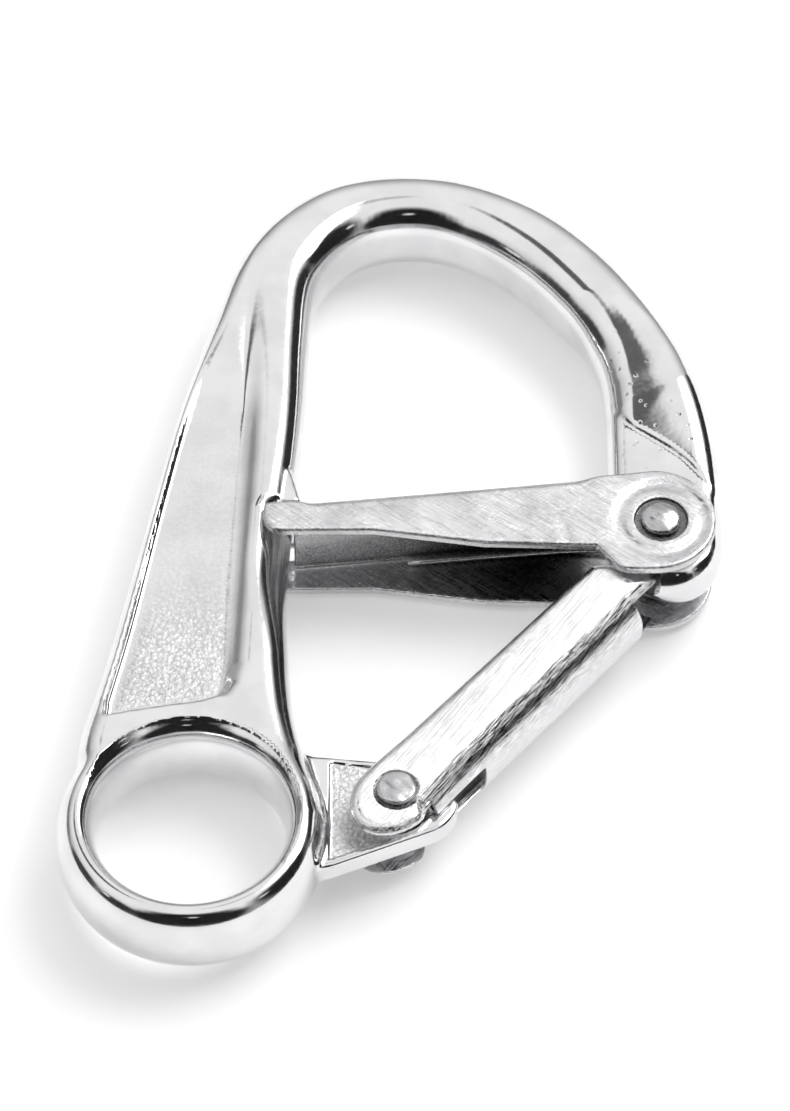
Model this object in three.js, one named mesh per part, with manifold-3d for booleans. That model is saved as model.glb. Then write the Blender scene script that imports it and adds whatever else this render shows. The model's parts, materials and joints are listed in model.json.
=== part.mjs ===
// A forged double-lever safety hook: one steel forging with a round eye, a sprung gate across its
// mouth and a sprung locking lever between its nose and the ear beside its eye.
// Millimetres. Plan shapes are drawn about the gate rivet (x = y = 0) and about the mid-plane (z = 0);
// the exported group then stands on its lowest rivet head, under the centre of its box.
import * as THREE from "three";
import { mergeVertices } from "three/addons/utils/BufferGeometryUtils.js";
import Module from "manifold-3d";

const wasm = await Module();
wasm.setup();

// Driving dimensions: the forging
const EYE = new THREE.Vector2(-80.9, -60);
const EYE_OUTER = 23;
const EYE_HOLE = 16;
const EYE_CREST = 18.6;
const EYE_LAND = 0.8;
const EYE_HALF = 8.2;
const HOOK_HALF = 8.8;
const HOOK_ROUNDING = 3.5;
const TONGUE_HALF = 5.2;
const TONGUE_CENTRE = 1.2;
const TONGUE_RADIUS = 10;
const RECESS_HALF = 5.6;
const EAR_HALF = 2.3;
const EAR_PANEL_HALF = 1.8;

// Driving dimensions: the gate, a channel that hangs on the gate rivet
const GATE_OUTER_HALF = 9.9;
const GATE_INNER_HALF = 8;
const GATE_WEB = 1.9;
const GATE_WEB_FROM = -61.3;
const GATE_WEB_TO = -14;
const GATE_TIP_RADIUS = 69.9;
const SWING_GAP = 0.7;
const SEAT_HALF = 7.6;
const SEAT_TOP = 5.4;

// Driving dimensions: the locking lever, a channel that hangs on the ear rivet
const EAR_PIVOT = new THREE.Vector2(-46.1, -55);
const LEVER_LEAN = THREE.MathUtils.degToRad(48.7);
const LEVER_OUTER_HALF = 7.5;
const LEVER_INNER_HALF = 5.7;
const LEVER_SIDE = 7;
const LEVER_END = 9.4;
const LEVER_WEB = 1.9;
const LEVER_WEB_FROM = 3;
const LEVER_SLOT_TO = 15.7;
const LEVER_SLOT_HALF = 2.8;
const LEVER_WEB_TO = 57;
const LEVER_TOP = -8.2;

// Driving dimensions: rivets, spacer sleeves and springs
const SHANK_RADIUS = 2.7;
const HOLE_RADIUS = 3;
const SLEEVE_RADIUS = 3.9;
const GATE_HEAD = { radius: 3.6, top: 11.2, seat: 4.6, seatDepth: 0.5 };
const LEVER_HEAD = { radius: 3.4, top: 8.7, seat: 3.95, seatDepth: 0.3 };
const WIRE = 1.2;
const COIL_RADIUS = 4.9;
const SHORT_LEG = 3.6;
const GAP = 0.3;

const CIRCLE_STEPS = 40;

// The box of the whole object, from which the group's place follows
const LEFT = EYE.x - EYE_OUTER;
const RIGHT = TONGUE_CENTRE + TONGUE_RADIUS;
const BOTTOM = EYE.y - EYE_OUTER;
const TOP = 81.4;

const polished = new THREE.MeshStandardMaterial({ color: 0xd6d8da, roughness: 0.16, metalness: 1 });
const sheet = new THREE.MeshStandardMaterial({ color: 0xc9cbcd, roughness: 0.24, metalness: 1 });
const peened = new THREE.MeshStandardMaterial({ color: 0xbfc1c3, roughness: 0.3, metalness: 1 });
const spring = new THREE.MeshStandardMaterial({ color: 0x9a9c9e, roughness: 0.35, metalness: 1 });

const vectors = (pairs) => pairs.map(([x, y]) => new THREE.Vector2(x, y));

// A closed three.js geometry as a solid that can be joined and cut.
function solid(geometry) {
  geometry.deleteAttribute("normal");
  geometry.deleteAttribute("uv");
  const merged = mergeVertices(geometry, 1e-4);
  return new wasm.Manifold(
    new wasm.Mesh({
      numProp: 3,
      vertProperties: merged.attributes.position.array,
      triVerts: new Uint32Array(merged.index.array),
    }),
  );
}

function meshOf(name, body, material) {
  const made = body.getMesh();
  const geometry = new THREE.BufferGeometry();
  geometry.setAttribute("position", new THREE.BufferAttribute(made.vertProperties, 3));
  geometry.setIndex(new THREE.BufferAttribute(made.triVerts, 1));
  const mesh = new THREE.Mesh(geometry, material);
  mesh.name = name;
  return mesh;
}

// A plate of the given outline between two heights, its edges rounded inside the outline.
function plate(shape, low, high, rounding = 0, curveSegments = 5) {
  const points = shape.getPoints(curveSegments);
  const distinct = points.filter((p, i) => p.distanceTo(points[(i + 1) % points.length]) > 0.01);
  const geometry = new THREE.ExtrudeGeometry(new THREE.Shape(distinct), {
    depth: high - low - 2 * rounding,
    bevelEnabled: rounding > 0,
    bevelThickness: rounding,
    bevelSize: rounding,
    bevelOffset: -rounding,
    bevelSegments: rounding > 2 ? 3 : 1,
  });
  return solid(geometry.translate(0, 0, low + rounding));
}

function disc(x, y, radius, low, high, steps = CIRCLE_STEPS) {
  const geometry = new THREE.CylinderGeometry(radius, radius, high - low, steps);
  return solid(geometry.rotateX(Math.PI / 2).translate(x, y, (low + high) / 2));
}

function polygon(pairs) {
  return new THREE.Shape(vectors(pairs));
}

// The same cut on both faces: everything inside the outline that lies beyond the given half height.
function faceCut(shape, half) {
  const reach = HOOK_HALF + 4;
  return plate(shape, half, reach).add(plate(shape, -reach, -half));
}

// The forging's outline, counter-clockwise from the eye's left side, round the bow to the nose and
// back along the inside of the hook.
function hookOutline() {
  const shape = new THREE.Shape();
  shape.moveTo(-63, -72);
  shape.lineTo(-58.6, -59);
  shape.splineThru(vectors([[-61, -49], [-63.7, -37], [-64.9, -22], [-65.2, -9]]));
  shape.splineThru(vectors([[-64.4, 4], [-63.1, 16], [-62.2, 28], [-61.7, 42], [-60.9, 54.6]]));
  shape.splineThru(vectors([[-58.8, 60.4], [-54.8, 65.3], [-49.6, 68.3], [-43, 69.2], [-36.6, 68]]));
  shape.splineThru(vectors([[-30.3, 64.8], [-23.6, 59.4], [-17.8, 52.8], [-13, 45.8], [-9.9, 37.4]]));
  shape.lineTo(TONGUE_CENTRE - TONGUE_RADIUS, 28);
  shape.lineTo(TONGUE_CENTRE - TONGUE_RADIUS, 0);
  shape.absarc(TONGUE_CENTRE, 0, TONGUE_RADIUS, Math.PI, 2 * Math.PI, false);
  shape.splineThru(vectors([[11, 15], [9.2, 28], [5.7, 39.4], [0.6, 50], [-7, 61.2]]));
  shape.splineThru(vectors([[-15.8, 70.4], [-24.8, 76.4], [-35, 80.3], [-45.7, TOP], [-56, 79.6]]));
  shape.splineThru(vectors([[-64, 75.2], [-71.1, 67.8], [-76, 58.4], [-79.8, 45.4]]));
  shape.splineThru(vectors([[-85.2, 25], [-90.4, 0], [-96.3, -28], [-102.7, -51]]));
  shape.lineTo(-98, -72);
  return shape;
}

// The eye: a small round inwards of its flat crest, and a larger one outwards of it.
function eyeRing() {
  const inner = EYE_CREST - EYE_LAND;
  const outer = EYE_CREST + EYE_LAND;
  const profile = new THREE.Path();
  profile.moveTo(EYE_HOLE, 0);
  profile.absellipse(inner, 0, inner - EYE_HOLE, EYE_HALF, Math.PI, 1.5 * Math.PI, false);
  profile.absellipse(outer, 0, EYE_OUTER - outer, EYE_HALF, 1.5 * Math.PI, 2.5 * Math.PI, false);
  profile.absellipse(inner, 0, inner - EYE_HOLE, EYE_HALF, 0.5 * Math.PI, Math.PI, false);
  const geometry = new THREE.LatheGeometry(profile.getPoints(5), 48);
  return solid(geometry.rotateX(Math.PI / 2).translate(EYE.x, EYE.y, 0));
}

function ear() {
  const outline = new THREE.Shape();
  outline.moveTo(-62, -44.4);
  outline.lineTo(-63, -68.4);
  outline.lineTo(-57, -67);
  outline.lineTo(-42.4, -61);
  outline.quadraticCurveTo(-37, -58.8, -35.6, -55.4);
  outline.quadraticCurveTo(-35.2, -53, -38, -51.6);
  outline.lineTo(-43, -47);
  outline.quadraticCurveTo(-45, -45.6, -49, -45.7);
  const panel = polygon([[-57.4, -46], [-57.4, -65.6], [-41.5, -59], [-44, -47.4], [-49, -47.2]]);
  return plate(outline, -EAR_HALF, EAR_HALF, 0.6).subtract(faceCut(panel, EAR_PANEL_HALF));
}

// The small tooth over the seat that stops the gate as it springs shut.
function nib() {
  const outline = polygon([[-68, 5.6], [-62.6, 5.4], [-64.4, 11.6], [-63.4, 13.4], [-68, 18]]);
  return plate(outline, -HOOK_HALF + 1, HOOK_HALF - 1, 0.8);
}

function hookBody() {
  // Beyond this line the nose is thinned to the tongue that the gate straddles.
  const nose = new THREE.Shape();
  nose.moveTo(-12, 38);
  nose.lineTo(-8.6, 33);
  nose.splineThru(vectors([[-7.4, 27.4], [-4.7, 23.9], [-1.4, 21.4], [2.9, 18.1], [6.4, 14.3]]));
  nose.lineTo(12, 5.6);
  nose.lineTo(14, -14);
  nose.lineTo(-12, -14);
  // The sunk panel on each face of the spine.
  const panel = new THREE.Shape();
  panel.moveTo(-71, 56);
  panel.splineThru(vectors([[-71.6, 27], [-72.6, 3], [-73.6, -17], [-74.2, -29]]));
  panel.quadraticCurveTo(-75, -35.6, -81, -36.8);
  panel.lineTo(-95.4, -39.4);
  panel.splineThru(vectors([[-91.4, -20], [-86.6, 6], [-82.3, 27], [-77, 48], [-74, 56]]));
  // The seat that the gate's tip rests in, swept clear for the whole swing of the tip.
  const seat = new THREE.Shape();
  const seatReach = GATE_TIP_RADIUS + SWING_GAP;
  const seatStart = Math.PI - Math.asin(SEAT_TOP / seatReach);
  seat.moveTo(-60, SEAT_TOP);
  seat.lineTo(seatReach * Math.cos(seatStart), SEAT_TOP);
  seat.absarc(0, 0, seatReach, seatStart, Math.PI + 0.5, false);
  seat.lineTo(-56, -28);
  const body = plate(hookOutline(), -HOOK_HALF, HOOK_HALF, HOOK_ROUNDING)
    .subtract(faceCut(panel, RECESS_HALF))
    .subtract(faceCut(seat, SEAT_HALF))
    .subtract(faceCut(nose, TONGUE_HALF))
    .subtract(disc(EYE.x, EYE.y, EYE_CREST, -HOOK_HALF - 1, HOOK_HALF + 1))
    .add(nib())
    .add(ear())
    .add(eyeRing());
  return body
    .subtract(disc(0, 0, HOLE_RADIUS, -HOOK_HALF, HOOK_HALF))
    .subtract(disc(EAR_PIVOT.x, EAR_PIVOT.y, HOLE_RADIUS, -HOOK_HALF, HOOK_HALF));
}

function gate() {
  const high = new THREE.Vector2(-6, 10.1);
  const low = new THREE.Vector2(-62, 4.3);
  const shape = new THREE.Shape();
  shape.moveTo(-66, -2.4);
  shape.lineTo(-50, -2.3);
  shape.lineTo(-31, -5);
  shape.lineTo(-11.2, -5.6);
  shape.lineTo(-8, -9.6);
  shape.quadraticCurveTo(-7, -10.6, -5.6, -10.7);
  shape.lineTo(-1, -10.6);
  shape.absarc(-1, 0.1, 10.7, -Math.PI / 2, Math.PI / 2, false);
  shape.lineTo(high.x, high.y);
  shape.lineTo(low.x, low.y);
  shape.lineTo(-69.3, 3.7);
  shape.quadraticCurveTo(-69.6, -1.2, -66, -2.4);
  // The web runs along the sloping top edge, and this is its under side.
  const slope = (high.y - low.y) / (high.x - low.x);
  const inside = (x) => high.y + slope * (x - high.x) - GATE_WEB;
  const channel = polygon([
    [-75, 20],
    [-75, -20],
    [20, -20],
    [20, 20],
    [GATE_WEB_TO, 20],
    [GATE_WEB_TO, inside(GATE_WEB_TO)],
    [GATE_WEB_FROM, inside(GATE_WEB_FROM)],
    [GATE_WEB_FROM, 20],
  ]);
  const { seat, seatDepth } = GATE_HEAD;
  return plate(shape, -GATE_OUTER_HALF, GATE_OUTER_HALF, 0.7)
    .subtract(plate(channel, -GATE_INNER_HALF, GATE_INNER_HALF))
    .subtract(disc(0, 0, HOLE_RADIUS, -GATE_OUTER_HALF, GATE_OUTER_HALF))
    .subtract(disc(0, 0, seat, GATE_OUTER_HALF - seatDepth, GATE_OUTER_HALF + 1))
    .subtract(disc(0, 0, seat, -GATE_OUTER_HALF - 1, seatDepth - GATE_OUTER_HALF));
}

// A point of the lever: how far up its length from the ear rivet, and how far out to its web side.
function leverPoint(along, out) {
  const up = new THREE.Vector2(Math.cos(LEVER_LEAN), Math.sin(LEVER_LEAN));
  const side = new THREE.Vector2(Math.sin(LEVER_LEAN), -Math.cos(LEVER_LEAN));
  return EAR_PIVOT.clone().addScaledVector(up, along).addScaledVector(side, out);
}

function lockingLever() {
  // How far up the lever its outer side reaches before it meets the level cut across its top.
  const topOut = (LEVER_TOP - EAR_PIVOT.y + LEVER_SIDE * Math.cos(LEVER_LEAN)) / Math.sin(LEVER_LEAN);
  const points = [];
  for (let i = 0; i <= 8; i++) {
    const angle = (Math.PI * i) / 8;
    points.push(leverPoint(-LEVER_END * Math.sin(angle), LEVER_SIDE * Math.cos(angle)));
  }
  points.push(leverPoint(58, 1 - LEVER_SIDE));
  points.push(leverPoint(59.4, 2.2 - LEVER_SIDE));
  points.push(leverPoint(topOut, LEVER_SIDE));
  const shape = new THREE.Shape(points.reverse());
  const channel = new THREE.Shape([
    leverPoint(-20, -20),
    leverPoint(-20, 20),
    leverPoint(LEVER_WEB_FROM, 20),
    leverPoint(LEVER_WEB_FROM, LEVER_SIDE - LEVER_WEB),
    leverPoint(LEVER_WEB_TO, LEVER_SIDE - LEVER_WEB),
    leverPoint(LEVER_WEB_TO, 20),
    leverPoint(80, 20),
    leverPoint(80, -20),
  ]);
  const slot = new THREE.Shape([
    leverPoint(-20, 0),
    leverPoint(-20, 20),
    leverPoint(LEVER_SLOT_TO, 20),
    leverPoint(LEVER_SLOT_TO, 0),
  ]);
  const { seat, seatDepth } = LEVER_HEAD;
  const { x, y } = EAR_PIVOT;
  return plate(shape, -LEVER_OUTER_HALF, LEVER_OUTER_HALF, 0.6)
    .subtract(plate(channel, -LEVER_INNER_HALF, LEVER_INNER_HALF))
    .subtract(plate(slot, -LEVER_SLOT_HALF, LEVER_SLOT_HALF))
    .subtract(disc(x, y, HOLE_RADIUS, -LEVER_OUTER_HALF, LEVER_OUTER_HALF))
    .subtract(disc(x, y, seat, LEVER_OUTER_HALF - seatDepth, LEVER_OUTER_HALF + 1))
    .subtract(disc(x, y, seat, -LEVER_OUTER_HALF - 1, seatDepth - LEVER_OUTER_HALF));
}

// A rivet: a shank and a domed head at each end.
function rivet(centre, head, plateHalf) {
  const under = plateHalf - head.seatDepth + GAP;
  const profile = new THREE.Path();
  profile.moveTo(0, -head.top);
  profile.quadraticCurveTo(head.radius, -head.top, head.radius, -(under + 0.35 * (head.top - under)));
  profile.lineTo(head.radius, -under);
  profile.lineTo(SHANK_RADIUS, -under);
  profile.lineTo(SHANK_RADIUS, under);
  profile.lineTo(head.radius, under);
  profile.lineTo(head.radius, under + 0.35 * (head.top - under));
  profile.quadraticCurveTo(head.radius, head.top, 0, head.top);
  const geometry = new THREE.LatheGeometry(profile.getPoints(4), 32);
  return solid(geometry.rotateX(Math.PI / 2).translate(centre.x, centre.y, 0));
}

function sleeve(centre, low, high) {
  return disc(centre.x, centre.y, SLEEVE_RADIUS, low, high, 32).subtract(
    disc(centre.x, centre.y, HOLE_RADIUS, low - 1, high + 1, 32),
  );
}

// A wire that runs through the given points, with round corners.
function wire(points, steps) {
  const section = new THREE.Shape();
  section.absarc(0, 0, WIRE / 2, 0, 2 * Math.PI, false);
  const path = new THREE.CatmullRomCurve3(points, false, "centripetal");
  const geometry = new THREE.ExtrudeGeometry(section, {
    steps,
    curveSegments: 4,
    bevelEnabled: false,
    extrudePath: path,
  });
  return solid(geometry);
}

// Turns round the given centre, climbing from one height to the other.
function coil(centre, from, to, low, high, steps = 28) {
  const points = [];
  for (let i = 0; i <= steps; i++) {
    const angle = from + ((to - from) * i) / steps;
    const z = low + ((high - low) * i) / steps;
    const x = centre.x + COIL_RADIUS * Math.cos(angle);
    points.push(new THREE.Vector3(x, centre.y + COIL_RADIUS * Math.sin(angle), z));
  }
  return points;
}

// A gate spring: a short leg beside the tongue, most of a turn round the sleeve, and a long leg under
// the web. A whole turn of this wire has no room between the tongue and the gate.
function gateSpring(side) {
  const inner = TONGUE_HALF + GAP + WIRE / 2;
  const outer = GATE_INNER_HALF - GAP - WIRE / 2;
  const turns = coil(new THREE.Vector2(0, 0), Math.PI, Math.PI * 2.6, inner, outer);
  const points = [
    new THREE.Vector3(-COIL_RADIUS, SHORT_LEG, inner),
    ...turns,
    new THREE.Vector3(-12, 5.6, outer),
    new THREE.Vector3(-28, 4.4, outer),
    new THREE.Vector3(-44, 2.8, outer),
  ].map((p) => new THREE.Vector3(p.x, p.y, p.z * side));
  return wire(points, 70);
}

// The lever spring: a short leg on the ear, turns round the sleeve, a long leg up inside the lever.
function leverSpring() {
  const inner = EAR_HALF + GAP + WIRE / 2;
  const outer = LEVER_INNER_HALF - GAP - WIRE / 2;
  const turns = coil(EAR_PIVOT, Math.PI, Math.PI * 3.6, inner, outer);
  const at = (along, out, z) => {
    const p = leverPoint(along, out);
    return new THREE.Vector3(p.x, p.y, z);
  };
  const start = new THREE.Vector3(EAR_PIVOT.x - COIL_RADIUS, EAR_PIVOT.y + SHORT_LEG, inner);
  const points = [start, ...turns, at(10, 4.4, outer), at(30, 4, outer), at(52, 3.8, outer)];
  return wire(points, 70);
}

const group = new THREE.Group();
group.position.set(-(LEFT + RIGHT) / 2, -(BOTTOM + TOP) / 2, GATE_HEAD.top);
const origin = new THREE.Vector2(0, 0);

group.add(
  meshOf("hook_body", hookBody(), polished),
  meshOf("gate", gate(), sheet),
  meshOf("gate_rivet", rivet(origin, GATE_HEAD, GATE_OUTER_HALF), peened),
  meshOf("locking_lever", lockingLever(), sheet),
  meshOf("lever_rivet", rivet(EAR_PIVOT, LEVER_HEAD, LEVER_OUTER_HALF), peened),
  meshOf("lever_spring", leverSpring(), spring),
);
for (const [name, side] of [["front", 1], ["back", -1]]) {
  const gateEnds = [TONGUE_HALF + GAP, GATE_INNER_HALF - GAP];
  const leverEnds = [EAR_HALF + GAP, LEVER_INNER_HALF - GAP];
  const [gateLow, gateHigh] = gateEnds.map((z) => z * side).sort((a, b) => a - b);
  const [leverLow, leverHigh] = leverEnds.map((z) => z * side).sort((a, b) => a - b);
  group.add(
    meshOf("gate_spring_" + name, gateSpring(side), spring),
    meshOf("gate_sleeve_" + name, sleeve(origin, gateLow, gateHigh), spring),
    meshOf("lever_sleeve_" + name, sleeve(EAR_PIVOT, leverLow, leverHigh), spring),
  );
}

export default group;
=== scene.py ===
"""The looks of a forged double-lever safety hook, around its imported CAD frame.

Shapes are drawn in millimetres about the gate rivet (x towards the nose, y towards the bow, z off the
mid-plane), and then placed in the row frame. Every piece is one closed mesh: the springs are swept
wires, and all others are the surface of a field of distances, which is negative inside.
"""

import json
import math

import bpy
import numpy as np
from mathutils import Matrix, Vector


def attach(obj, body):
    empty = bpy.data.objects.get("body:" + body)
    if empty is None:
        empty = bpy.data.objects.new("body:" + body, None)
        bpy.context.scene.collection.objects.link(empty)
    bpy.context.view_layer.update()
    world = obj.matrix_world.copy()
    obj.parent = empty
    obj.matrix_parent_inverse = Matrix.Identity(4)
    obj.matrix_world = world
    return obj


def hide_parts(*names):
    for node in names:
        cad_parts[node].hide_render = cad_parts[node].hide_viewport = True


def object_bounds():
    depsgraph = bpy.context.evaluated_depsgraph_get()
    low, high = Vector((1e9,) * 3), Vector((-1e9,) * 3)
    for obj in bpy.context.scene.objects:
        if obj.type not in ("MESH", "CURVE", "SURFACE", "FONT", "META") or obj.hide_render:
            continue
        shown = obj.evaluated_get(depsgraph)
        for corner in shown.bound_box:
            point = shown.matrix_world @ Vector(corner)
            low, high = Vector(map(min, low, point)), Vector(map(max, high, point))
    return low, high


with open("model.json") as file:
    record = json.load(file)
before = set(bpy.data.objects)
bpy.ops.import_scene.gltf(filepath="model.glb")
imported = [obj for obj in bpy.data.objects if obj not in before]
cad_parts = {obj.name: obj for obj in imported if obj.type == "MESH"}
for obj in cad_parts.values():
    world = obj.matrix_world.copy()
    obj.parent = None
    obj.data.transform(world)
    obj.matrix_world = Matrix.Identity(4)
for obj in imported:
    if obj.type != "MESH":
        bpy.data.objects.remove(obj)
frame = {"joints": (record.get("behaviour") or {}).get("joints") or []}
bounds_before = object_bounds()

MM = 0.001
PIVOT = {j["name"]: np.array(j["pos_m"]) / MM for j in frame["joints"]}
GATE_PIVOT = PIVOT["gate_hinge"]
EAR = PIVOT["lever_hinge"][:2] - GATE_PIVOT[:2]
# How far apart the stored distances of an outline are
TABLE_STEP = 0.3

# The forging. Each _HALF is half a thickness. Its edges are rounded by EDGE_ROUND, and by more beside
# the hole, in the bow and in the seat under the gate's tip.
EYE = np.array([-80.9, -60.0])
EYE_OUTER = 22.9
EYE_HOLE = 16.0
EYE_CREST = 19.1
EYE_HALF = 8.1
HOOK_HALF = 8.7
TONGUE_HALF = 5.2
TONGUE_CENTRE = 1.2
TONGUE_RADIUS = 9.9
EAR_HALF = 2.3
EAR_PANEL_HALF = 1.8
EAR_BOSS = 6.2
TOOTH_HALF = 7.4
EDGE_ROUND = 4.6
HOLE_ROUND = 0.4
BOW_ROUND = 0.5
SEAT_ROUND = 3.0
FACE_CROWN = 0.5
NOSE_SINK = 2.7
NOSE_SINK_REACH = 14
PANEL_FLOOR = 6.1
PANEL_RUN_OUT = 3.4
PANEL_FILLET = 3.4
PANEL_BLEND = 3.2
SHARPER_OUTSIDE = 2.2

# The gate and the locking lever
GATE_OUTER = 9.85
GATE_INNER = 8.0
GATE_BEND = 2.3
GATE_EDGE = 0.7
GATE_TOP = 10.72
GATE_SLOPE = 5.8 / 56
GATE_WEB_END = -64.1
GATE_WEB_START = -14
GATE_RECESS = 4.6
GATE_RECESS_HALF = 9.1
LEVER_LEAN = math.radians(48.7)
LEVER_TOP_LEVEL = -8.3
LEVER_OUTER = 7.45
LEVER_INNER = 5.7
LEVER_SIDE = 6.95
LEVER_END = 9.35
LEVER_BEND = 6.2
LEVER_EDGE = 2.0
LEVER_CROWN = 0.5
LEVER_RECESS = 3.9
LEVER_RECESS_HALF = 7.2
SLOT_LENGTH = 15.7
SLOT_HALF = 2.8
SHEET = 1.85

# Rivets and springs
SHANK = 2.7
HOLE = 3.0
SLEEVE_RADIUS = 3.45
SLEEVE_HALF_WALL = 0.44
WIRE = 1.2
COIL = 4.9


def spline(*points, steps=6):
    """Points of a smooth curve through the given ones."""
    p = np.array(points, float)
    p = np.vstack([2 * p[0] - p[1], p, 2 * p[-1] - p[-2]])
    out = []
    for a, b, c, d in zip(p, p[1:], p[2:], p[3:]):
        for t in np.arange(steps) / steps:
            bend = (2 * a - 5 * b + 4 * c - d) * t**2 + (3 * b - a - 3 * c + d) * t**3
            out.append(b + ((c - a) * t + bend) / 2)
    return [*out, p[-2]]


def arc(centre, radius, start, end, steps=24):
    """Points of an arc, its angles in turns of pi."""
    angles = np.linspace(start, end, steps + 1) * math.pi
    x = centre[0] + radius * np.cos(angles)
    y = centre[1] + radius * np.sin(angles)
    return list(np.stack([x, y], 1))


def outline(*parts):
    """One closed outline from points and runs of points."""
    return np.array([p for part in parts for p in np.atleast_2d(part)], float)


def plan(points, margin=14):
    """The signed distance to a closed outline, negative inside, as a function of x and y."""
    low = points.min(0) - margin
    high = points.max(0) + margin
    gx = np.arange(low[0], high[0], TABLE_STEP)
    gy = np.arange(low[1], high[1], TABLE_STEP)
    x, y = np.meshgrid(gx, gy, indexing="ij")
    nearest = np.full(x.shape, 1e9)
    inside = np.zeros(x.shape, bool)
    for a, b in zip(points, np.roll(points, -1, 0)):
        run = b - a
        if not run.any():
            continue
        t = np.clip(((x - a[0]) * run[0] + (y - a[1]) * run[1]) / (run @ run), 0, 1)
        apart = (x - a[0] - t * run[0]) ** 2 + (y - a[1] - t * run[1]) ** 2
        nearest = np.minimum(nearest, apart)
        if run[1]:
            left = x < a[0] + run[0] * (y - a[1]) / run[1]
            inside ^= ((a[1] > y) != (b[1] > y)) & left
    table = np.where(inside, -1, 1) * np.sqrt(nearest)

    def distance(px, py):
        u = np.clip((px - low[0]) / TABLE_STEP, 0, len(gx) - 1.001)
        v = np.clip((py - low[1]) / TABLE_STEP, 0, len(gy) - 1.001)
        u, v = np.broadcast_arrays(u, v)
        i = u.astype(int)
        j = v.astype(int)
        u = u - i
        v = v - j
        low_side = table[i, j] * (1 - v) + table[i, j + 1] * v
        high_side = table[i + 1, j] * (1 - v) + table[i + 1, j + 1] * v
        return low_side * (1 - u) + high_side * u

    return distance


def both(a, b, radius):
    """Inside both of two distances, with a round edge."""
    over = np.hypot(np.maximum(a + radius, 0), np.maximum(b + radius, 0))
    return np.minimum(np.maximum(a, b) + radius, 0) + over - radius


def join(a, b, blend):
    """Inside either of two distances, with a fillet."""
    h = np.maximum(blend - np.abs(a - b), 0) / blend
    return np.minimum(a, b) - h * h * blend / 4


def cut(a, b, blend):
    """Inside a and outside b, with a soft edge."""
    return -join(-a, b, blend)


def step(low, high, value):
    """0 below low, 1 above high, and smooth between them."""
    t = np.clip((value - low) / (high - low), 0, 1)
    return t * t * (3 - 2 * t)


def disc(x, y, centre, radius):
    """The signed distance to a circle, negative inside."""
    return np.hypot(x - centre[0], y - centre[1]) - radius


def ripple(x, y, size, seed):
    """Gentle unevenness between about -1 and 1."""
    k = 2 * math.pi / size
    a = np.sin(k * (x + 0.31 * y) + seed) + np.sin(k * (0.83 * y - 0.45 * x) + 2.1 * seed)
    return (a + np.sin(1.7 * k * (0.6 * x + 0.7 * y) + 0.7 * seed)) / 3


# Outlines in plan, walked once round. The spine is on the left, the nose and the ear on the right.
SPINE_LEFT = spline(
    (-79.8, 45.4), (-85.2, 25), (-90.4, 0), (-96.3, -28), (-100.2, -44), (-100, -56)
)
BOW_OUTSIDE = spline(
    (11.1, 0), (11, 15), (9.2, 28), (5.7, 39.4), (0.6, 50), (-7, 61.2), (-15.8, 70.4),
    (-24.8, 76.4), (-35, 80.3), (-45.7, 81.3), (-56, 79.6), (-64, 75.2), (-71.1, 67.8),
    (-76, 58.4), (-79.8, 45.4),
)
BOW_INSIDE = spline(
    (-58.6, -59), (-61, -49), (-63.7, -37), (-64.9, -22), (-65.2, -9), (-64.4, 4), (-63.1, 16),
    (-62.2, 28), (-61.7, 42), (-60.9, 54.6), (-58.8, 60.4), (-54.8, 65.3), (-49.6, 68.3),
    (-43, 69.2), (-36.6, 68), (-30.3, 64.8), (-23.6, 59.4), (-17.8, 52.8), (-13, 45.8),
    (-9.9, 37.4), (-8.8, 28),
)
hook_plan = plan(
    outline(
        (-63, -72),
        BOW_INSIDE,
        arc((TONGUE_CENTRE, 0), TONGUE_RADIUS, 1, 2),
        BOW_OUTSIDE,
        SPINE_LEFT,
        (-93, -70),
    )
)
bow_hole = plan(outline(BOW_INSIDE, (-8.8, -60)), 20)
# Where the nose is thinned to the tongue that the gate straddles
nose_plan = plan(
    outline(
        (-12, 38),
        (-8.6, 33),
        spline((-7.4, 27.4), (-4.7, 23.9), (-1.4, 21.4), (2.9, 18.1), (6.4, 14.3), (12, 5.6)),
        (18, 0),
        (18, -18),
        (-16, -18),
        (-16, 38),
    ),
    18,
)
# The sunk panel of the spine, which runs out into the bow
panel_plan = plan(
    outline(
        (-70.4, 66),
        spline((-71, 56), (-71.6, 27), (-72.6, 3), (-73.6, -17), (-74.2, -29)),
        spline((-74.9, -32.6), (-76.6, -35.2), (-80, -36.6), (-84, -37.2)),
        (-95.2, -39.2),
        spline((-95.0, -36.5), (-91.4, -20), (-86.6, 6), (-82.3, 27), (-77, 48), (-74, 56)),
        (-72, 66),
    )
)
# The small tooth above the gate's tip
tooth_plan = plan(outline((-68, 5.6), (-62.7, 5.5), (-64.4, 12), (-68, 18)))
ear_plan = plan(
    outline(
        (-62, -44.4), (-63, -68.4), (-57, -67),
        spline((-42.4, -61), (-38.2, -59), (-35.9, -55.8), (-36, -53.4), (-38, -51.6)),
        spline((-43, -47.1), (-45.4, -45.9), (-49, -45.7)),
    )
)
ear_panel = plan(
    outline((-57.4, -46), (-57.4, -65.6), (-41.7, -59.2), (-39.6, -55), (-44, -47.4), (-49, -47.2))
)


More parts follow.
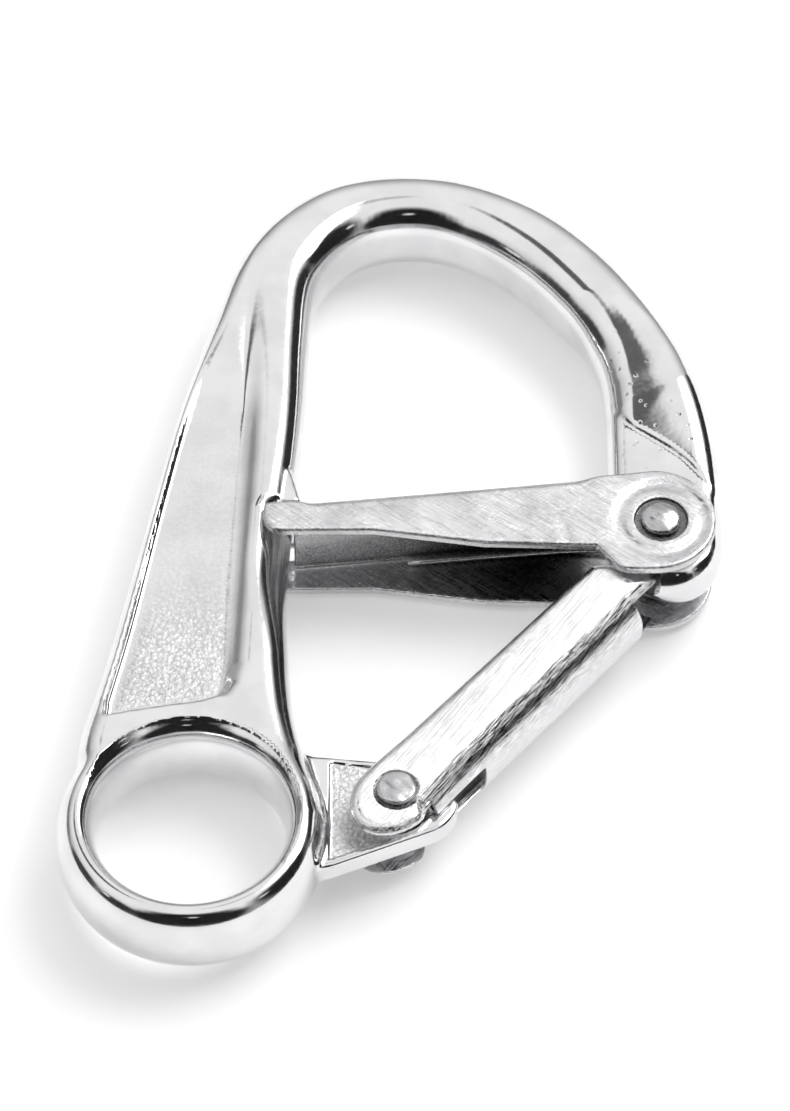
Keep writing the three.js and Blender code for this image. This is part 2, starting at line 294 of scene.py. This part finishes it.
def hook_field(x, y, z):
    high = np.abs(z)
    edge = hook_plan(x, y)
    from_hole = bow_hole(x, y)

    # The section: rounded edges, wider beside the hole and widest under the gate's tip
    near_hole = step(15, 4, from_hole)
    in_bow = step(20, 48, y)
    under_gate = step(-27, -7, y) * step(7, 4, y)
    wider = HOLE_ROUND + BOW_ROUND * in_bow + SEAT_ROUND * under_gate
    radius = EDGE_ROUND + near_hole * wider
    crown = FACE_CROWN * np.clip(1 + edge / 9, 0, 1) ** 2
    from_nose = np.clip(nose_plan(x, y), 0, NOSE_SINK_REACH)
    sink = NOSE_SINK * (1 - from_nose / NOSE_SINK_REACH) ** 1.2 * step(-26, -12, x)
    body = both(edge, high - (HOOK_HALF - crown - sink), radius)

    # The spine's panel, its outer border sharper than its inner one
    floor = PANEL_FLOOR + PANEL_RUN_OUT * step(18, 60, y)
    sharper = SHARPER_OUTSIDE * step(9.5, 13.5, from_hole)
    panel = both(panel_plan(x, y) - 0.7, floor - high, PANEL_FILLET - sharper)
    body = cut(body, panel, PANEL_BLEND - sharper)

    # The tongue, the tooth and the ear
    body = cut(body, both(nose_plan(x, y), TONGUE_HALF - high, 0.5), 1.0)
    eye = disc(x, y, EYE, 0)
    body = cut(body, eye - EYE_CREST, 0.2)
    body = join(body, both(tooth_plan(x, y), high - TOOTH_HALF, 0.9), 0.4)
    ear = both(ear_plan(x, y), high - EAR_HALF, 0.7)
    ear = cut(ear, both(ear_panel(x, y), EAR_PANEL_HALF - high, 0.3), 0.5)
    ear = join(ear, both(disc(x, y, EAR, EAR_BOSS), high - EAR_HALF, 0.4), 0.5)
    body = join(body, ear, 2.2)

    # The eye's ring: half an ellipse out from its crest and a narrower half inwards
    width = np.where(eye > EYE_CREST, EYE_OUTER - EYE_CREST, EYE_CREST - EYE_HOLE)
    across = (eye - EYE_CREST) / width
    upright = high / EYE_HALF
    ring = np.hypot(across, upright)
    ring = (ring - 1) * ring / np.maximum(np.hypot(across / width, upright / EYE_HALF), 1e-3)
    body = join(body, ring, 0.9)

    body = cut(body, disc(x, y, (0, 0), HOLE), 0.3)
    return cut(body, disc(x, y, EAR, HOLE), 0.3)


gate_plan = plan(
    outline(
        (-66, -2.4), (-50, -2.3), (-31, -5), (-11.2, -5.6), (-8, -9.6),
        spline((-7.2, -10.2), (-5.6, -10.6), (-1, -10.6)),
        arc((-1, 0.1), 10.65, -0.5, 0.5),
        (-6, 10.1), (-62, 4.3), (-69.2, 3.7), (-69.4, 1), (-68.8, -1), (-67.6, -2.1),
    )
)


def gate_field(x, y, z):
    high = np.abs(z)
    edge = gate_plan(x, y)
    under_top = y - (GATE_TOP + GATE_SLOPE * x)
    along = step(-64, -60, x) * step(-10, -15, x)
    radius = GATE_EDGE + (GATE_BEND - GATE_EDGE) * step(-5, -1, under_top) * along
    shell = both(edge, high - GATE_OUTER, radius)
    past_web = np.maximum(GATE_WEB_END - x, x - GATE_WEB_START)
    hollow = both(np.where(past_web < 0, under_top + SHEET, -9.0), high - GATE_INNER, 0.9)
    body = cut(shell, hollow, 0.35)
    pin = disc(x, y, (0, 0), 0)
    body = cut(body, both(pin - GATE_RECESS, GATE_RECESS_HALF - high, 0.2), 0.3)
    # A pressed ring round the rivet, and a faint fold where the cheek widens
    dish = 0.3 * np.exp(-(((pin - 7.4) / 1.2) ** 2))
    fold = 0.22 * np.exp(-(((x + 17.5 + 0.25 * y) / 1.2) ** 2)) * step(3, -3, y)
    body = body + (dish + fold) * step(GATE_OUTER - 1.2, GATE_OUTER - 0.4, high)
    return cut(body, pin - HOLE, 0.2)


def lever_point(along, out):
    """The place of a point so far up the lever from its rivet and so far out to its web side."""
    up, side = math.cos(LEVER_LEAN), math.sin(LEVER_LEAN)
    return np.array([EAR[0] + along * up + out * side, EAR[1] + along * side - out * up])


# How far up the lever its web reaches that level, just under the gate's knuckle
LEVER_TOP = (LEVER_TOP_LEVEL - EAR[1] + LEVER_SIDE * math.cos(LEVER_LEAN)) / math.sin(LEVER_LEAN)
lever_plan = plan(
    outline(
        arc((0, 0), LEVER_SIDE, 0.5, 1.5, 32) * np.array([LEVER_END / LEVER_SIDE, 1]),
        (58, -5.95), (59.4, -4.8), (LEVER_TOP, LEVER_SIDE),
    )
)


def lever_field(along, out, z):
    high = np.abs(z)
    edge = lever_plan(along, out)
    radius = LEVER_EDGE + (LEVER_BEND - LEVER_EDGE) * step(-3, 4.5, out) * step(-2, 3, along)
    # The cheeks bulge towards the web, and the hollow is open at both ends.
    crown = LEVER_CROWN * (out / LEVER_SIDE) ** 2 * step(2, 12, along)
    shell = both(edge, high - (LEVER_OUTER - crown), radius)
    hollow = both(out - (LEVER_SIDE - SHEET), high - (LEVER_INNER - 0.6 * crown), 3.2)
    ends = np.maximum(3 - along, along - 57)
    hollow = np.where(ends > 0, high - LEVER_INNER, hollow)
    body = cut(shell, hollow, 0.35)
    slot = both(np.maximum(along - SLOT_LENGTH, -out), high - SLOT_HALF, 0.5)
    body = cut(body, slot, 0.5)
    pin = np.hypot(along, out)
    body = cut(body, both(pin - LEVER_RECESS, LEVER_RECESS_HALF - high, 0.15), 0.25)
    return cut(body, pin - HOLE, 0.2)


def rivet_field(radius, under, top, dome, seed):
    """A shank with two hammered heads, each from a height under to a top that falls away by a dome."""

    def field(x, y, z):
        high = np.abs(z)
        out = np.hypot(x, y)
        turn = np.arctan2(y, x) + seed + np.where(z > 0, 0, 2.0)
        rim = radius - 0.13 * (1 + np.sin(3 * turn) * 0.6 + np.sin(5 * turn + 1) * 0.4)
        flat = 0.07 * ripple(x, y, 2.9, seed)
        crown = top - dome * (out / radius) ** 2 + flat - 0.06
        head = both(out - rim, high - crown, 0.35)
        head = np.maximum(head, under - high)
        return join(head, both(out - SHANK, high - under - 0.2, 0.05), 0.1)

    return field


def sleeve_field(low, high):
    """A short tube between two heights."""

    def field(x, y, z):
        across = np.abs(np.hypot(x, y) - SLEEVE_RADIUS) - SLEEVE_HALF_WALL
        return both(across, np.abs(z - (low + high) / 2) - (high - low) / 2, 0.15)

    return field


def in_row(points):
    """Points in millimetres about the gate rivet, as metres in the row frame."""
    return ((np.asarray(points) + GATE_PIVOT) * MM).tolist()


def link(name, data):
    obj = bpy.data.objects.new(name, data)
    bpy.context.scene.collection.objects.link(obj)
    return obj


def mesh_of(name, field, low, high, cell, place=None):
    """A closed mesh of the surface where the field is zero, and its vertices before they are placed."""
    axes = [np.arange(a - 1.5 * cell, b + 2.5 * cell, cell) for a, b in zip(low, high)]
    x, y, z = axes
    f = field(x[:, None, None], y[None, :, None], z[None, None, :])
    f = np.broadcast_to(f, (len(x), len(y), len(z)))
    inside = f < 0
    shape = tuple(n - 1 for n in f.shape)
    corners = [
        (slice(i, i + shape[0]), slice(j, j + shape[1]), slice(k, k + shape[2]))
        for i in (0, 1)
        for j in (0, 1)
        for k in (0, 1)
    ]
    # One vertex for each cell that the surface passes through
    count = sum(inside[c].astype(np.int8) for c in corners)
    mixed = (count > 0) & (count < 8)
    index = np.full(shape, -1, np.int64)
    index[mixed] = np.arange(mixed.sum())
    where = np.argwhere(mixed)
    points = np.array(low) - 1.5 * cell + (where + 0.5) * cell
    # One quad for each grid line that crosses the surface
    quads = []
    for axis in range(3):
        one, two = [(1, 2), (2, 0), (0, 1)][axis]
        first = [slice(1, -1)] * 3
        first[axis] = slice(0, -1)
        second = list(first)
        second[axis] = slice(1, None)
        a = inside[tuple(first)]
        b = inside[tuple(second)]
        crossing = np.argwhere(a != b)
        flip = a[tuple(crossing.T)]
        base = crossing.copy()
        base[:, one] += 1
        base[:, two] += 1
        rim = []
        for s, t in ((0, 0), (-1, 0), (-1, -1), (0, -1)):
            at = base.copy()
            at[:, one] += s
            at[:, two] += t
            rim.append(index[tuple(at.T)])
        ring = np.stack(rim, 1)
        ring[~flip] = ring[~flip][:, ::-1]
        quads.append(ring)
    quads = np.concatenate(quads)

    # The vertices move onto the surface, and take their normals from the field.
    def gradient(p, reach):
        columns = []
        for axis in range(3):
            shift = np.zeros(3)
            shift[axis] = reach
            columns.append(field(*(p + shift).T) - field(*(p - shift).T))
        return np.stack(columns, 1) / (2 * reach)

    start = points.copy()
    for _ in range(5):
        g = gradient(points, 0.06)
        size = np.maximum((g * g).sum(1), 0.2)
        points = points - g * (field(*points.T) / size)[:, None]
        points = np.clip(points, start - 0.9 * cell, start + 0.9 * cell)
    normals = gradient(points, 0.08)
    normals /= np.maximum(np.linalg.norm(normals, axis=1), 1e-6)[:, None]
    local = points
    if place is not None:
        points, normals = place(points, normals)
    mesh = bpy.data.meshes.new(name)
    mesh.from_pydata(in_row(points), [], quads.tolist())
    mesh.validate()
    mesh.polygons.foreach_set("use_smooth", np.ones(len(mesh.polygons), bool))
    mesh.normals_split_custom_set_from_vertices(normals.tolist())
    return link(name, mesh), local


def attribute(obj, name, values):
    """Stores a number for each vertex, for the material to read."""
    layer = obj.data.attributes.new(name, "FLOAT", "POINT")
    layer.data.foreach_set("value", np.asarray(values, np.float32))


def wire_of(name, points, sides=14):
    """A round wire with flat ends that runs smoothly through the given points."""
    line = np.array(spline(*points, steps=5))
    way = np.gradient(line, axis=0)
    way /= np.linalg.norm(way, axis=1)[:, None]
    across = np.cross(way[0], (0.2, 0.1, 1.0))
    verts = []
    turns = np.linspace(0, 2 * math.pi, sides, endpoint=False)
    # The ends are narrowed a little, so that they look cut.
    reach = np.full(len(line), WIRE / 2)
    reach[[0, -1]] *= 0.8
    line[0] -= way[0] * 0.1
    line[-1] += way[-1] * 0.1
    for p, t, r in zip(line, way, reach):
        across = across - (across @ t) * t
        across /= np.linalg.norm(across)
        third = np.cross(t, across)
        verts += [p + r * (math.cos(a) * across + math.sin(a) * third) for a in turns]
    faces = []
    for start in range(0, (len(line) - 1) * sides, sides):
        for j in range(sides):
            a = start + j
            b = start + (j + 1) % sides
            faces.append([a, b, b + sides, a + sides])
    last = (len(line) - 1) * sides
    faces += [list(range(sides))[::-1], list(range(last, last + sides))]
    mesh = bpy.data.meshes.new(name)
    mesh.from_pydata(in_row(verts), [], faces)
    mesh.polygons.foreach_set("use_smooth", [len(f) == 4 for f in faces])
    return link(name, mesh)


def turns_round(centre, start, end, low, high, steps=20):
    """Points of a coil, its angles in turns of pi and its height from low to high."""
    t = np.linspace(0, 1, steps + 1)
    a = (start + (end - start) * t) * math.pi
    x = centre[0] + COIL * np.cos(a)
    return np.stack([x, centre[1] + COIL * np.sin(a), low + (high - low) * t], 1)


class Nodes:
    """A node tree with short ways to add and join nodes. A keyword _3 is the input of that index."""

    def __init__(self, tree):
        self.tree = tree
        tree.nodes.clear()

    def add(self, kind, settings=(), **inputs):
        node = self.tree.nodes.new(kind)
        for key, value in dict(settings).items():
            setattr(node, key, value)
        for key, value in inputs.items():
            socket = node.inputs[int(key[1:]) if key[0] == "_" else key.replace("_", " ")]
            if isinstance(value, bpy.types.NodeSocket):
                self.tree.links.new(value, socket)
            else:
                socket.default_value = value
        return node

    def attribute(self, name):
        return self.add("ShaderNodeAttribute", {"attribute_name": name}).outputs["Fac"]

    def maths(self, operation, a, b):
        return self.add("ShaderNodeMath", {"operation": operation}, _0=a, _1=b).outputs[0]

    def plus(self, a, b, times):
        """a + b * times"""
        return self.maths("ADD", a, self.maths("MULTIPLY", b, times))

    def span(self, value, low, high, to_low=0.0, to_high=1.0):
        settings = {"interpolation_type": "SMOOTHSTEP"}
        return self.add(
            "ShaderNodeMapRange", settings, _0=value, _1=low, _2=high, _3=to_low, _4=to_high
        ).outputs[0]

    def noise(self, where, size_mm, detail=2.0, rough=0.5):
        node = self.add(
            "ShaderNodeTexNoise", Vector=where, Scale=1 / (size_mm * MM), Detail=detail, Roughness=rough
        )
        return node.outputs["Fac"]

    def stretched(self, where, angle, long_mm, short_mm):
        """Noise drawn out into lines at an angle in plan."""
        turned = self.add("ShaderNodeMapping", Vector=where, Rotation=(0, 0, angle)).outputs[0]
        drawn = self.add(
            "ShaderNodeVectorMath",
            {"operation": "MULTIPLY"},
            _0=turned,
            _1=(1 / (long_mm * MM), 1 / (short_mm * MM), 1 / (short_mm * MM)),
        ).outputs[0]
        return self.add("ShaderNodeTexNoise", Vector=drawn, Scale=1.0, Detail=2.0).outputs["Fac"]

    def cells(self, where, size_mm):
        """How far a point is from the nearest of many scattered ones."""
        node = self.add("ShaderNodeTexVoronoi", Vector=where, Scale=1 / (size_mm * MM))
        return node.outputs["Distance"]

    def mix(self, amount, a, b):
        """A colour between two, each a socket or three numbers."""
        node = self.add("ShaderNodeMix", {"data_type": "RGBA"}, Factor=amount)
        for socket, value in ((node.inputs[6], a), (node.inputs[7], b)):
            if isinstance(value, bpy.types.NodeSocket):
                self.tree.links.new(value, socket)
            else:
                socket.default_value = (*value, 1)
        return node.outputs[2]

    def bump(self, height, depth_mm, under=None):
        node = self.add("ShaderNodeBump", Height=height, Distance=depth_mm * MM)
        if under is not None:
            self.tree.links.new(under, node.inputs["Normal"])
        return node.outputs[0]


# What the metals' shaders share: sizes in millimetres, and colours
CLOUD = 9
SWELL = 3.1
GRAIN = 0.8
# SHADOWED is a painted shade: the near-black colour given to the inside of the channels and to the
# rivet recesses.
SHADOWED = (0.035, 0.035, 0.037)
CAST_GREY = (0.4, 0.4, 0.4)
SPECK_GREY = (0.2, 0.2, 0.2)


def metal(name, bright, dull, rough, wave_mm, fine_mm, scratch=0.0, scratch_angle=0.6, extra=""):
    """Bright steel: slow waves and fine grain in its surface, with scratches where asked.

    The extra "hollow" paints shade into the colour, darkening it towards SHADOWED inside a channel and
    in a rivet's recess, and "cast" adds a cast skin and specks.
    """
    material = bpy.data.materials.new(name)
    material.use_nodes = True
    n = Nodes(material.node_tree)
    where = n.add("ShaderNodeTexCoord").outputs["Object"]
    cloud = n.noise(where, CLOUD, 3)
    grain = n.noise(where, GRAIN, 3)
    colour = n.mix(n.span(cloud, 0.35, 0.65), dull, bright)
    roughness = n.span(grain, 0.3, 0.7, rough * 0.8, rough * 1.25)
    normal = n.bump(cloud, wave_mm)
    normal = n.bump(n.noise(where, SWELL, 2), wave_mm * 0.3, normal)
    normal = n.bump(grain, fine_mm, normal)
    if scratch:
        lines = n.stretched(where, scratch_angle, 9, 0.16)
        lines = n.plus(lines, n.stretched(where, scratch_angle + 1.9, 6, 0.12), 0.5)
        lines = n.span(lines, 0.7, 1.0)
        normal = n.bump(lines, scratch, normal)
        roughness = n.plus(roughness, lines, 0.12)
        colour = n.mix(n.maths("MULTIPLY", lines, 0.35), colour, tuple(0.8 * c for c in dull))
    if extra == "hollow":
        # Painted shade: the colour darkens where shade falls, inside the channel and in the rivet's
        # recess.
        shade = n.attribute("hollow")
        colour = n.mix(shade, colour, SHADOWED)
        roughness = n.plus(roughness, shade, 0.15)
    if extra == "cast":
        cast = n.attribute("sand")
        skin = n.plus(n.noise(where, 0.5, 4, 0.65), n.cells(where, 0.8), 0.5)
        normal = n.bump(n.maths("MULTIPLY", skin, cast), 0.12, normal)
        roughness = n.plus(roughness, cast, 0.16)
        grey = n.maths("MULTIPLY", n.span(skin, 0.5, 0.95), n.maths("MULTIPLY", cast, 0.6))
        colour = n.mix(grey, colour, CAST_GREY)
        spots = n.span(n.cells(where, 2.3), 0.22, 0.08)
        spots = n.maths("MULTIPLY", spots, n.attribute("specks"))
        normal = n.bump(spots, -0.05, normal)
        colour = n.mix(n.maths("MULTIPLY", spots, 0.5), colour, SPECK_GREY)
    shader = n.add(
        "ShaderNodeBsdfPrincipled", Base_Color=colour, Metallic=1.0, Roughness=roughness, Normal=normal
    )
    n.add("ShaderNodeOutputMaterial", Surface=shader.outputs[0])
    return material


chrome = metal(
    "plated_forging",
    bright=(0.8, 0.8, 0.805),
    dull=(0.73, 0.73, 0.74),
    rough=0.1,
    wave_mm=0.045,
    fine_mm=0.004,
    extra="cast",
)
sheet = metal(
    "plated_sheet",
    bright=(0.76, 0.76, 0.77),
    dull=(0.61, 0.61, 0.62),
    rough=0.13,
    wave_mm=0.008,
    fine_mm=0.003,
    scratch=0.035,
    extra="hollow",
)
lever_sheet = metal(
    "plated_lever",
    bright=(0.83, 0.83, 0.84),
    dull=(0.78, 0.78, 0.79),
    rough=0.11,
    wave_mm=0.008,
    fine_mm=0.003,
    scratch=0.03,
    scratch_angle=2.2,
    extra="hollow",
)
peened = metal(
    "peened_rivet",
    bright=(0.62, 0.62, 0.63),
    dull=(0.45, 0.45, 0.46),
    rough=0.17,
    wave_mm=0.05,
    fine_mm=0.012,
    scratch=0.008,
)
drawn = metal(
    "spring_wire",
    bright=(0.8, 0.8, 0.81),
    dull=(0.65, 0.65, 0.66),
    rough=0.2,
    wave_mm=0.01,
    fine_mm=0.006,
    scratch=0.006,
)


def finish_piece(obj, material, body, slot, *nodes):
    obj.data.materials.append(material)
    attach(obj, body)
    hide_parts(*nodes)


def moved(centre):
    """The placing of a piece that is drawn about its own centre."""
    shift = np.array([centre[0], centre[1], 0.0])
    return lambda points, normals: (points + shift, normals)


def lever_place(points, normals):
    """The placing of the lever, drawn with x out to its web side and y up it from its rivet."""
    up = np.array([math.cos(LEVER_LEAN), math.sin(LEVER_LEAN), 0])
    side = np.array([math.sin(LEVER_LEAN), -math.cos(LEVER_LEAN), 0])
    turn = np.stack([side, up, (0, 0, 1)])
    return points @ turn + np.array([EAR[0], EAR[1], 0]), normals @ turn


def across_plan(at):
    return np.hypot(at[:, 0], at[:, 1])


CELL = 0.5
HOOK_CELL = CELL * 1.24
SHEET_CELL = CELL * 0.7
RIVET_CELL = 0.22
SLEEVE_CELL = 0.25

hook, at = mesh_of("hook_forging", hook_field, (-104.4, -83.4, -9), (11.8, 82, 9), HOOK_CELL)
x, y, z = at.T
in_panel = step(0.5, -3, panel_plan(x, y))
in_ear_panel = step(0.1, -0.5, ear_panel(x, y)) * (np.abs(z) < 2.1)
sandy = in_panel * (0.25 * step(40, 0, y) + 0.75 * step(-4, -34, y))
attribute(hook, "sand", np.clip(sandy + in_ear_panel * 1.4, 0, 1.4))
facet = step(9, 3, nose_plan(x, y)) * step(3.5, 7, z) * step(-26, -12, x)
attribute(hook, "specks", facet)
finish_piece(hook, chrome, "hook", "forging", "hook_body")

gate, at = mesh_of("gate_channel", gate_field, (-70, -11, -10.2), (10.2, 11, 10.2), SHEET_CELL)
x, y, z = at.T
high = np.abs(z)
# Painted shade, read by the material as "hollow": the inside faces of the channel, light near the tip
# and dark further in up to just short of the knuckle, and the wall of the rivet's recess.
channel_shade = step(GATE_INNER + 0.35, GATE_INNER + 0.05, high) * step(0.3, 0.8, -gate_plan(x, y))
recess_shade = step(4.9, 4.5, across_plan(at)) * step(GATE_OUTER - 0.05, GATE_OUTER - 0.35, high)
depth_of_shade = (0.08 + 0.87 * step(-58, -22, x)) * step(-9, -14, x)
attribute(gate, "hollow", recess_shade * 0.8 + channel_shade * depth_of_shade)
finish_piece(gate, sheet, "gate", "sheet", "gate")

lever, at = mesh_of(
    "lever_channel",
    lambda x, y, z: lever_field(y, x, z),
    (-7.3, -9.8, -7.8),
    (7.3, LEVER_TOP + 0.4, 7.8),
    SHEET_CELL,
    lever_place,
)
out, along, z = at.T
high = np.abs(z)
# Painted shade, read by the material as "hollow": the inside faces of the lever's cheeks from a little
# way above its rivet, and the wall of the rivet's recess.
channel_shade = step(LEVER_INNER + 0.3, LEVER_INNER, high)
channel_shade = channel_shade * step(LEVER_SIDE - 1.4, LEVER_SIDE - 1.7, out)
recess_shade = step(4.2, 3.8, across_plan(at)) * step(LEVER_OUTER, LEVER_OUTER - 0.2, high)
attribute(lever, "hollow", recess_shade * 0.8 + channel_shade * 0.85 * step(6, 14, along))
finish_piece(lever, lever_sheet, "lever", "sheet", "locking_lever")

# Each rivet's centre, its head's radius, underside, top, dome and turn, and how far it is meshed
RIVETS = {
    "gate_rivet": ((0.0, 0.0), (3.55, 9.5, 11.15, 1.0, 0.4), 11.2),
    "lever_rivet": (tuple(EAR), (3.4, 7.3, 8.5, 0.12, 2.2), 8.7),
}
for node, (centre, shape, reach) in RIVETS.items():
    far = np.array((3.8, 3.8, reach))
    rivet, _ = mesh_of(node + "_peened", rivet_field(*shape), -far, far, RIVET_CELL, moved(centre))
    finish_piece(rivet, peened, "hook", "rivet", node)

# Each sleeve's centre and the heights of its two ends
SLEEVES = {"gate": ((0.0, 0.0), 5.5, 7.7), "lever": (tuple(EAR), 2.6, 5.4)}
for name, side in (("front", 1), ("back", -1)):
    for joint, (centre, low, high) in SLEEVES.items():
        node = f"{joint}_sleeve_{name}"
        low, high = sorted((low * side, high * side))
        sleeve, _ = mesh_of(
            node + "_turned",
            sleeve_field(low, high),
            (-4.1, -4.1, low - 0.1),
            (4.1, 4.1, high + 0.1),
            SLEEVE_CELL,
            moved(centre),
        )
        finish_piece(sleeve, peened, "hook", "rivet", node)
    inner, outer = 6.1, 7.1
    path = [(-COIL, 3.6, inner), *turns_round((0, 0), 1, 2.6, inner, outer)]
    path += [(-12, 5.6, outer), (-28, 4.4, outer), (-44, 2.8, outer)]
    spring = wire_of(f"gate_spring_{name}_wire", [(x, y, z * side) for x, y, z in path])
    finish_piece(spring, drawn, "gate", "spring_wire", f"gate_spring_{name}")

inner, outer = 3.1, 4.8
path = [(EAR[0] - COIL, EAR[1] + 3.6, inner), *turns_round(EAR, 1, 3.77, inner, outer, 30)]
path += [(*lever_point(along, out), outer) for along, out in ((10, 4.3), (30, 3.9), (52, 3.7))]
finish_piece(wire_of("lever_spring_wire", path), drawn, "lever", "spring_wire", "lever_spring")

# Studio: a pale floor, a pale dome with dark and bright patches, and a soft key light.
# Each patch's azimuth from the bow's side (y) towards the nose (x), elevation, core and reach in
# degrees, and glow
STUDIO_PATCHES = (
    (180, 30, 22, 38, 0.015),
    (205, 14, 12, 24, 0.02),
    (155, 16, 12, 24, 0.02),
    (100, 24, 18, 36, 0.02),
    (57, 12, 12, 22, 0.03),
    (268, 10, 10, 20, 0.06),
    (235, 10, 10, 20, 0.04),
    (300, 6, 7, 15, 0.25),
    (330, 4, 6, 13, 0.3),
    (25, 76, 3, 8, 0.6),
    (318, 62, 6, 12, 0.12),
    (323, 54, 4, 10, 0.14),
    (178, 38, 2.0, 4.0, 0.9),
    (120, 33, 2.0, 4.5, 0.9),
    (245, 16, 2.0, 4.5, 0.9),
)
DOME_LOW = 0.4
DOME_HIGH = 1.02
FLOOR_SIZE = 4
FLOOR_GLOW = 0.24
KEY_ENERGY = 6
KEY_SIZE = 0.7
KEY_PLACE = (0.55, 0.35, 0.9)


def even(level):
    return (level, level, level)


bpy.ops.mesh.primitive_plane_add(size=FLOOR_SIZE)
floor = bpy.context.object
floor.name = "floor"
pale = bpy.data.materials.new("floor_paper")
pale.use_nodes = True
n = Nodes(pale.node_tree)
where = n.add("ShaderNodeTexCoord").outputs["Object"]
paper = n.mix(n.noise(where, 40), even(0.93), even(0.95))
shader = n.add(
    "ShaderNodeBsdfPrincipled",
    Base_Color=paper,
    Roughness=0.9,
    Emission_Color=(1, 1, 1, 1),
    Emission_Strength=FLOOR_GLOW,
)
n.add("ShaderNodeOutputMaterial", Surface=shader.outputs[0])
floor.data.materials.append(pale)

world = bpy.data.worlds.new("studio")
bpy.context.scene.world = world
world.use_nodes = True
n = Nodes(world.node_tree)
way = n.add("ShaderNodeTexCoord").outputs["Generated"]
level = n.add("ShaderNodeSeparateXYZ", Vector=way).outputs["Z"]
dome = n.mix(n.span(level, 0.05, 0.75), even(DOME_LOW), even(DOME_HIGH))
for azimuth, elevation, core, reach, glow in STUDIO_PATCHES:
    across, up = math.radians(azimuth), math.radians(elevation)
    centre = (math.sin(across) * math.cos(up), math.cos(across) * math.cos(up), math.sin(up))
    facing = n.add("ShaderNodeVectorMath", {"operation": "DOT_PRODUCT"}, _0=way, _1=centre)
    inside = n.span(
        facing.outputs["Value"], math.cos(math.radians(reach)), math.cos(math.radians(core))
    )
    dome = n.mix(inside, dome, even(glow))
background = n.add("ShaderNodeBackground", Color=dome, Strength=1.0)
n.add("ShaderNodeOutputWorld", Surface=background.outputs[0])

key = link("key", bpy.data.lights.new("key", "AREA"))
key.data.energy = KEY_ENERGY
key.data.size = KEY_SIZE
key.location = KEY_PLACE
key.rotation_euler = (-key.location).to_track_quat("-Z", "Y").to_euler()

# The camera looks at the middle of the hook from over the eye, and its lens is set for a picture 1111
# high.
CAMERA_ELEVATION = math.radians(54)
CAMERA_DISTANCE = 1.0
PICTURE_HIGH = 1111
DOTS_PER_MM = 5.7
SENSOR = 36
towards_camera = Vector((0, -math.cos(CAMERA_ELEVATION), math.sin(CAMERA_ELEVATION)))
low, high = (np.array(v) for v in bounds_before)
camera = link("camera", bpy.data.cameras.new("camera"))
camera.location = Vector((low + high) / 2) + towards_camera * CAMERA_DISTANCE
camera.rotation_euler = (-towards_camera).to_track_quat("-Z", "Y").to_euler()
camera.data.sensor_width = SENSOR
camera.data.lens = DOTS_PER_MM * SENSOR / PICTURE_HIGH * CAMERA_DISTANCE / MM
camera.data.clip_start = 0.01
bpy.context.scene.camera = camera
bpy.context.scene.view_settings.view_transform = "Standard"
